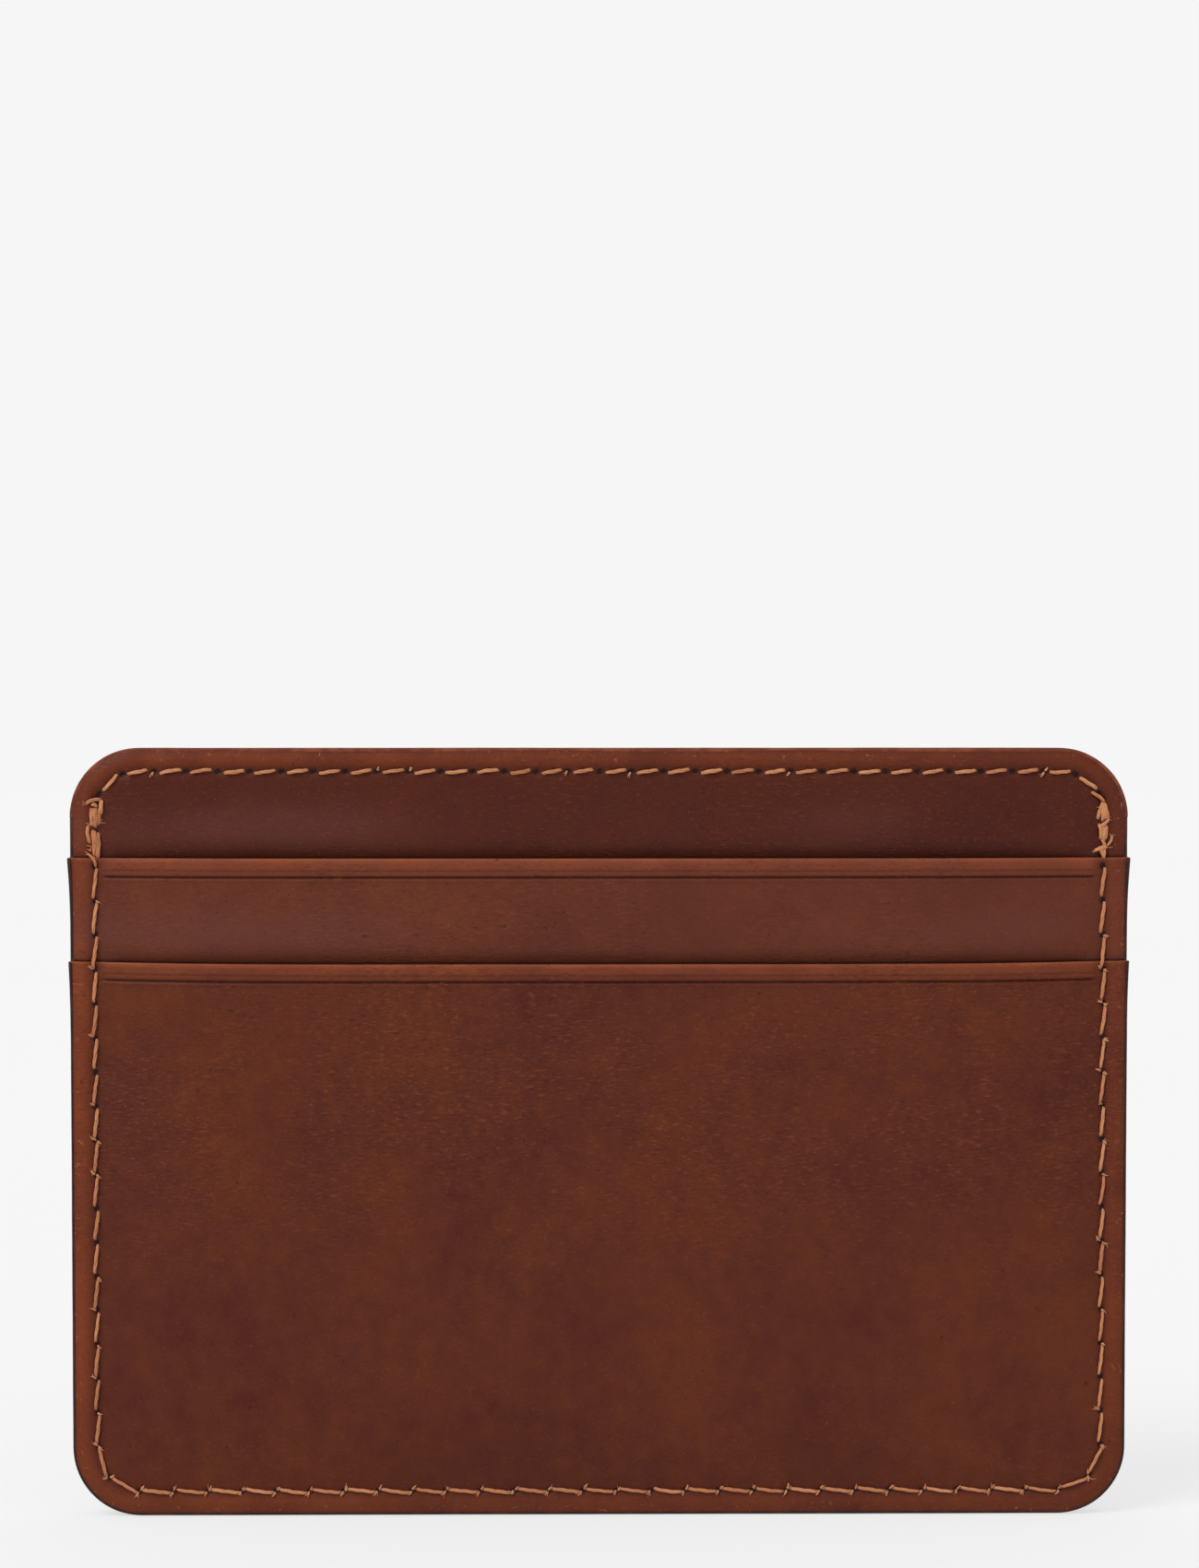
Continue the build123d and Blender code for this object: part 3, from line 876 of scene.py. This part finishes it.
def leather_material():
    """Smooth waxed leather: cloudy colour, short sideways creases, pores and pale pulled edges, with painted
    shade in the seams, holes, creases and slot gaps, and painted highlights and sheen near the slot lips.
    """
    n = Nodes("leather")
    clouds = n.noise(0.028, 3, 0.5, 0.5)
    patches = n.noise(0.1, 4, 0.55, 0.3, (1, 1, 0.75))
    mottle = n.noise(0.5, 4, 0.6)
    tone = n.math("ADD", n.math("MULTIPLY", clouds, 0.36), n.math("MULTIPLY", patches, 0.34))
    tone = n.math("ADD", tone, n.math("MULTIPLY", mottle, 0.3))
    colour = n.colours(
        tone,
        (0.39, srgb(72, 27, 17)),
        (0.47, srgb(78, 32, 18)),
        (0.54, srgb(84, 36, 17)),
        (0.64, srgb(92, 41, 17)),
    )
    height = n.new("ShaderNodeSeparateXYZ")
    n.put(height.inputs[0], n.scaled(1, 1, 1))
    layer = n.mark("tone")
    colour = n.mix(n.ramp(layer, 0.0, -1.0, 0.0, 0.6), colour, srgb(60, 18, 10))
    colour = n.mix(n.ramp(layer, 0.0, 1.0, 0.0, 0.3), colour, srgb(104, 54, 38))
    edge = n.mark("edge")
    # Painted light: the pale margin is made stronger on the left, where the key light falls, and weaker
    # towards the bottom, which lies in shade.
    side = n.ramp(height.outputs["X"], -WIDTH / 2, WIDTH / 2, 1.0, 0.45)
    side = n.math("MULTIPLY", side, n.ramp(height.outputs["Z"], 1.0, 8.0, 0.55, 1.0))
    margin = n.math("MULTIPLY", n.ramp(edge, 0.05, 0.8), n.ramp(patches, 0.35, 0.6, 0.35, 0.65))
    colour = n.mix(n.math("MULTIPLY", margin, side), colour, srgb(122, 56, 27))
    # Painted sheen: a greyish reflection above each slot mouth, broken up by the clouds.
    rubbing_and_sheen = n.math("MULTIPLY", n.mark("painted_sheen"), n.ramp(clouds, 0.42, 0.56, 0.0, 0.48))
    colour = n.mix(rubbing_and_sheen, colour, srgb(92, 50, 44))
    # Painted highlight along each slot lip, in patches.
    patchy = n.ramp(n.noise(0.7, 3, 0.5, 0.0, (0.3, 1, 1)), 0.3, 0.7, 0.6, 1.0)
    lip_highlight = n.math("MULTIPLY", n.mark("lip_highlight"), patchy)
    colour = n.mix(lip_highlight, colour, srgb(144, 73, 45))
    # Painted shade in the crease lines and where the leather rolls into the edge paint.
    colour = n.mix(n.math("MULTIPLY", n.mark("groove"), 0.8), colour, srgb(46, 13, 8))
    # Painted shade along the stitch channels.
    colour = n.mix(n.math("MULTIPLY", n.mark("channel"), 0.35), colour, srgb(56, 17, 10))
    # Painted shade: the needle holes nearly black, as their insides lie in shadow.
    colour = n.mix(n.ramp(n.mark("hole"), 0.2, 0.7, 0.0, 0.95), colour, srgb(20, 5, 4))
    busy = n.ramp(height.outputs["Z"], 18.0, 38.0, 0.25, 1.0)
    busy = n.math("MULTIPLY", busy, n.ramp(layer, -0.1, 0.1, 0.45, 1.0))
    busy = n.math("MULTIPLY", busy, n.ramp(layer, 0.1, 0.9, 1.0, 0.5))
    busy = n.math("MULTIPLY", busy, n.ramp(n.noise(0.08, 3), 0.38, 0.6, 0.35, 1.0))
    dashes = n.noise(1.0, 2, 0.55, 0.3, (1.5, 1, 5.2))
    # The dark dashes darken the creases, partly their own colour and partly painted shade; the light dashes
    # are painted highlights on their ridges.
    low = n.math("MULTIPLY", n.ramp(dashes, 0.44, 0.3), busy)
    high = n.math("MULTIPLY", n.ramp(dashes, 0.57, 0.7), busy)
    colour = n.mix(n.math("MULTIPLY", low, 0.6), colour, srgb(48, 15, 10))
    colour = n.mix(n.math("MULTIPLY", high, 0.5), colour, srgb(124, 64, 42))
    fine = n.noise(4.2, 3, 0.6, 0.0, (1, 1, 1.2))
    colour = n.mix(n.ramp(fine, 0.6, 0.76, 0.0, 0.35), colour, srgb(128, 68, 46))
    colour = n.mix(n.ramp(fine, 0.42, 0.26, 0.0, 0.45), colour, srgb(44, 14, 10))
    speck = n.noise(1.3, 2, 0.5)
    colour = n.mix(n.ramp(speck, 0.72, 0.77, 0.0, 0.5), colour, srgb(42, 12, 9))
    scuff = n.ramp(n.noise(1.6, 4, 0.7, 0.8), 0.6, 0.7)
    worn = n.math("MULTIPLY", scuff, n.ramp(edge, 0.5, 0.95, 0.0, 0.45))
    colour = n.mix(worn, colour, srgb(170, 106, 80))
    # Painted shade in the gap above each slot mouth.
    colour = n.mix(n.mark("slit_shade"), colour, srgb(34, 13, 9))
    relief = n.math("MULTIPLY", n.ramp(dashes, 0.25, 0.75), busy)
    normal = n.bump(fine, 0.4, 0.03)
    normal = n.bump(mottle, 0.35, 0.09, normal)
    normal = n.bump(relief, 0.6, 0.07, normal)
    rough = n.ramp(n.noise(0.6, 4, 0.6), 0.3, 0.7, 0.36, 0.5)
    return n.finish(colour, rough, normal, Specular_IOR_Level=0.12)


def paint_material():
    """Edge paint, slightly uneven and worn by rubbing. It is dark on the sewn edge and brown on the open
    top.
    """
    n = Nodes("edge_paint")
    # The paint's own uneven, worn patches; no sheen is painted here.
    rubbing_and_sheen = n.ramp(n.noise(0.5, 4, 0.6), 0.4, 0.7)
    height = n.new("ShaderNodeSeparateXYZ")
    n.put(height.inputs[0], n.scaled(1, 1, 1))
    top = n.ramp(height.outputs["Z"], MOUTH["upper_pocket"], STRAIGHT_TOP + 3)
    sewn = n.mix(rubbing_and_sheen, srgb(36, 13, 8), srgb(60, 25, 16))
    burnished = n.mix(rubbing_and_sheen, srgb(96, 42, 25), srgb(124, 62, 42))
    normal = n.bump(n.noise(2.2, 3, 0.6), 0.35, 0.05)
    rough = n.ramp(n.noise(1.0, 3), 0.3, 0.7, 0.36, 0.52)
    return n.finish(n.mix(top, sewn, burnished), rough, normal, Specular_IOR_Level=0.2)


def thread_material():
    """Tan twisted thread with fibres."""
    n = Nodes("thread")
    shade = n.mark("shade")
    colour = n.colours(
        shade,
        (0.15, srgb(158, 100, 66)),
        (0.5, srgb(178, 117, 79)),
        (0.85, srgb(196, 137, 97)),
    )
    fibre = n.noise(9.0, 3, 0.7)
    colour = n.mix(n.ramp(fibre, 0.45, 0.7, 0.0, 0.4), colour, srgb(136, 76, 46))
    normal = n.bump(fibre, 0.5, 0.03)
    rough = n.ramp(fibre, 0.3, 0.7, 0.7, 0.9)
    return n.finish(colour, rough, normal, Specular_IOR_Level=0.12, Sheen_Weight=0.1, Sheen_Roughness=0.5)


def lining_material():
    """Fine plain-woven lining."""
    n = Nodes("lining")
    warp = n.new("ShaderNodeTexWave", wave_type="BANDS", bands_direction="X", wave_profile="SIN")
    weft = n.new("ShaderNodeTexWave", wave_type="BANDS", bands_direction="Z", wave_profile="SIN")
    for wave in (warp, weft):
        n.put(wave.inputs["Vector"], n.scaled(1, 1, 1))
        wave.inputs["Scale"].default_value = 1.1
        wave.inputs["Distortion"].default_value = 0.15
    weave = n.math("MAXIMUM", warp.outputs["Fac"], weft.outputs["Fac"])
    colour = n.mix(n.ramp(weave, 0.3, 0.9), srgb(40, 22, 15), srgb(74, 46, 32))
    colour = n.mix(n.math("MULTIPLY", n.noise(0.2, 3), 0.25), colour, srgb(54, 32, 24))
    normal = n.bump(weave, 0.6, 0.05)
    return n.finish(colour, 0.85, normal, Specular_IOR_Level=0.1, Sheen_Weight=0.1)


def floor_material():
    """Plain pale paper."""
    n = Nodes("floor")
    tone = n.mix(n.noise(0.004, 3), (0.195, 0.195, 0.195, 1), (0.205, 0.205, 0.205, 1))
    n.shader.inputs["Emission Color"].default_value = (1, 1, 1, 1)
    return n.finish(tone, 0.9, None, Specular_IOR_Level=0.0, Emission_Strength=FLOOR_GLOW)


# ---------------------------------------------------------------- camera and studio

PITCH_DOWN = math.radians(3.2)
AZIMUTH = math.radians(-0.8)
DISTANCE = 0.42
AIM_ABOVE = 0.018
FRAME_HEIGHT = 0.1478
SENSOR = 36.0
SHIFT_UP = 0.1005
SHIFT_SIDE = 0.0
KEY_WAY = (-0.62, -0.66, 0.92)
KEY_STRENGTH = 1.7
KEY_ANGLE = math.radians(30)
WORLD = 0.922
FLOOR_GLOW = 0.665


def aim(obj, place, target):
    """Puts an object at a place, looking at a target."""
    obj.location = place
    obj.rotation_euler = (Vector(target) - Vector(place)).to_track_quat("-Z", "Y").to_euler()


def make_camera():
    target = Vector((0, 0, HEIGHT * MM / 2 + AIM_ABOVE))
    camera = bpy.data.objects.new("camera", bpy.data.cameras.new("camera"))
    camera.data.sensor_width = SENSOR
    camera.data.lens = SENSOR * DISTANCE / FRAME_HEIGHT
    camera.data.shift_x, camera.data.shift_y = SHIFT_SIDE, SHIFT_UP
    camera.data.clip_start = 0.01
    level = math.cos(PITCH_DOWN)
    back = Vector((level * math.sin(AZIMUTH), -level * math.cos(AZIMUTH), math.sin(PITCH_DOWN)))
    aim(camera, target + back * DISTANCE, target)
    SCENE.collection.objects.link(camera)
    SCENE.camera = camera


def make_studio():
    """A pale floor that runs on into a pale world, with a soft key from the upper left."""
    world = bpy.data.worlds.new("studio")
    SCENE.world = world
    world.use_nodes = True
    back = world.node_tree.nodes["Background"]
    back.inputs["Color"].default_value = (WORLD, WORLD, WORLD, 1)
    back.inputs["Strength"].default_value = 1.0
    radius, steps = 3.0, 96
    rings = [0.0, 0.3, 1.0, radius]
    points = [(0, 0, 0)] + [
        (r * math.cos(2 * math.pi * i / steps), r * math.sin(2 * math.pi * i / steps), 0)
        for r in rings[1:]
        for i in range(steps)
    ]
    turns = [(i, (i + 1) % steps) for i in range(steps)]
    inner = [[0, 1 + i, 1 + j] for i, j in turns]
    outer = [
        [near + i, near + steps + i, near + steps + j, near + j]
        for near in range(1, 1 + (len(rings) - 2) * steps, steps)
        for i, j in turns
    ]
    floor = mesh_object("floor", np.array(points) / MM, [np.array(inner), np.array(outer)], floor_material())
    lamp = bpy.data.lights.new("key", "SUN")
    lamp.energy = KEY_STRENGTH
    lamp.angle = KEY_ANGLE
    key = bpy.data.objects.new("key", lamp)
    aim(key, KEY_WAY, (0, 0, 0))
    SCENE.collection.objects.link(key)
    SCENE.view_settings.view_transform = "Standard"


# ---------------------------------------------------------------- the card holder

make_camera()
make_studio()
LEATHER, PAINT, YARN, CLOTH = leather_material(), paint_material(), thread_material(), lining_material()

# Columns and rows of the sheets, close together at the seams, the edges and the mouths.
NEAR_SEAM, NEAR_EDGE = WIDTH / 2 - 3.9, WIDTH / 2 - 0.8
LIP = 2.2
_half = spans((0, NEAR_SEAM, 0.31), (NEAR_SEAM, NEAR_EDGE, 0.19), (NEAR_EDGE, WIDTH / 2, 0.1))
COLUMNS = np.array([-v for v in _half[:0:-1]] + _half) / (WIDTH / 2)
COARSE_COLUMNS = odd(np.linspace(-1, 1, 121))


def corner_rows(count):
    """Heights round the bottom corners, close together where the outline is flat."""
    r = RADIUS - COAT
    return [COAT + r * (1 - math.cos(math.pi / 2 * i / count)) for i in range(count + 1)]


def top_rows(count):
    """The same round the top corners."""
    return [HEIGHT - z for z in corner_rows(count)[::-1]]


ROWS = {
    "lower_pocket": odd(
        corner_rows(30)[:-1]
        + spans(
            (RADIUS, MOUTH["lower_pocket"] - LIP, 0.29),
            (MOUTH["lower_pocket"] - LIP, MOUTH["lower_pocket"], 0.07),
        )
    ),
    "upper_pocket": odd(
        corner_rows(14)[:-1]
        + spans(
            (RADIUS, MOUTH["lower_pocket"] - 1, 1.5),
            (MOUTH["lower_pocket"] - 1, MOUTH["lower_pocket"] + 1.2, 0.1),
            (MOUTH["lower_pocket"] + 1.2, MOUTH["upper_pocket"] - LIP, 0.25),
            (MOUTH["upper_pocket"] - LIP, MOUTH["upper_pocket"], 0.07),
        )
    ),
    "panel": odd(
        corner_rows(14)[:-1]
        + spans(
            (RADIUS, MOUTH["upper_pocket"] - 1, 1.5),
            (MOUTH["upper_pocket"] - 1, MOUTH["upper_pocket"] + 1.2, 0.1),
            (MOUTH["upper_pocket"] + 1.2, STRAIGHT_TOP, 0.24),
        )
        + top_rows(34)[1:]
    ),
    "lining": odd(corner_rows(10)[:-1] + spans((RADIUS, STRAIGHT_TOP, 1.2)) + top_rows(12)[1:]),
}
SEAMS_IN = {
    "lining": [],
    "panel": [TOP_SEAM, *TACK_LINES.values()],
    "upper_pocket": [PERIMETER],
    "lower_pocket": [PERIMETER],
}

for number, side in enumerate(("front", "back")):
    for sheet in SHEETS:
        columns = COARSE_COLUMNS if sheet == "lining" else COLUMNS
        cloth = CLOTH if sheet == "lining" else LEATHER
        waves = unevenness(sheet, 10 * number)
        piece = sheet_object(side, sheet, ROWS[sheet], columns, cloth, SEAMS_IN[sheet], waves)
        add_piece(piece, "lining" if sheet == "lining" else "leather", f"{side}_{sheet}")
    sewn = (
        ("perimeter", PERIMETER, stepped_depth, 0.78, 0.84, 0.17, lambda p: 0.95 if p[1] < RADIUS else 0.45),
        ("top", TOP_SEAM, panel_depth, 0.85, 0.64, -0.15, lambda p: 0.06),
        ("slot_floor", FLOOR_SEAM, floor_depth, 0.78, 0.84, 0.1, lambda p: 0.0),
    )
    for index, (label, seam, depth_at, *habits) in enumerate(sewn):
        seed = 50 + 10 * number + index
        piece = sewn_object(f"{side}_{label}_thread", side, seam, depth_at, YARN, seed, *habits)
        add_piece(piece, "thread", f"{side}_{label}_seam")
    piece = paint_object(f"{side}_top_edge_paint", top_edge_path(side), PAINT, 80 + number)
    add_piece(piece, "edge_coat", f"{side}_top_edge_coat")

for index, label in enumerate(("left", "right")):
    add_piece(backtack_object(label, YARN, 90 + index), "thread", f"{label}_backtack")
piece = paint_object("perimeter_edge_paint", perimeter_path(), PAINT, 100)
add_piece(piece, "edge_coat", "left_edge_coat", "right_edge_coat", "bottom_edge_coat")
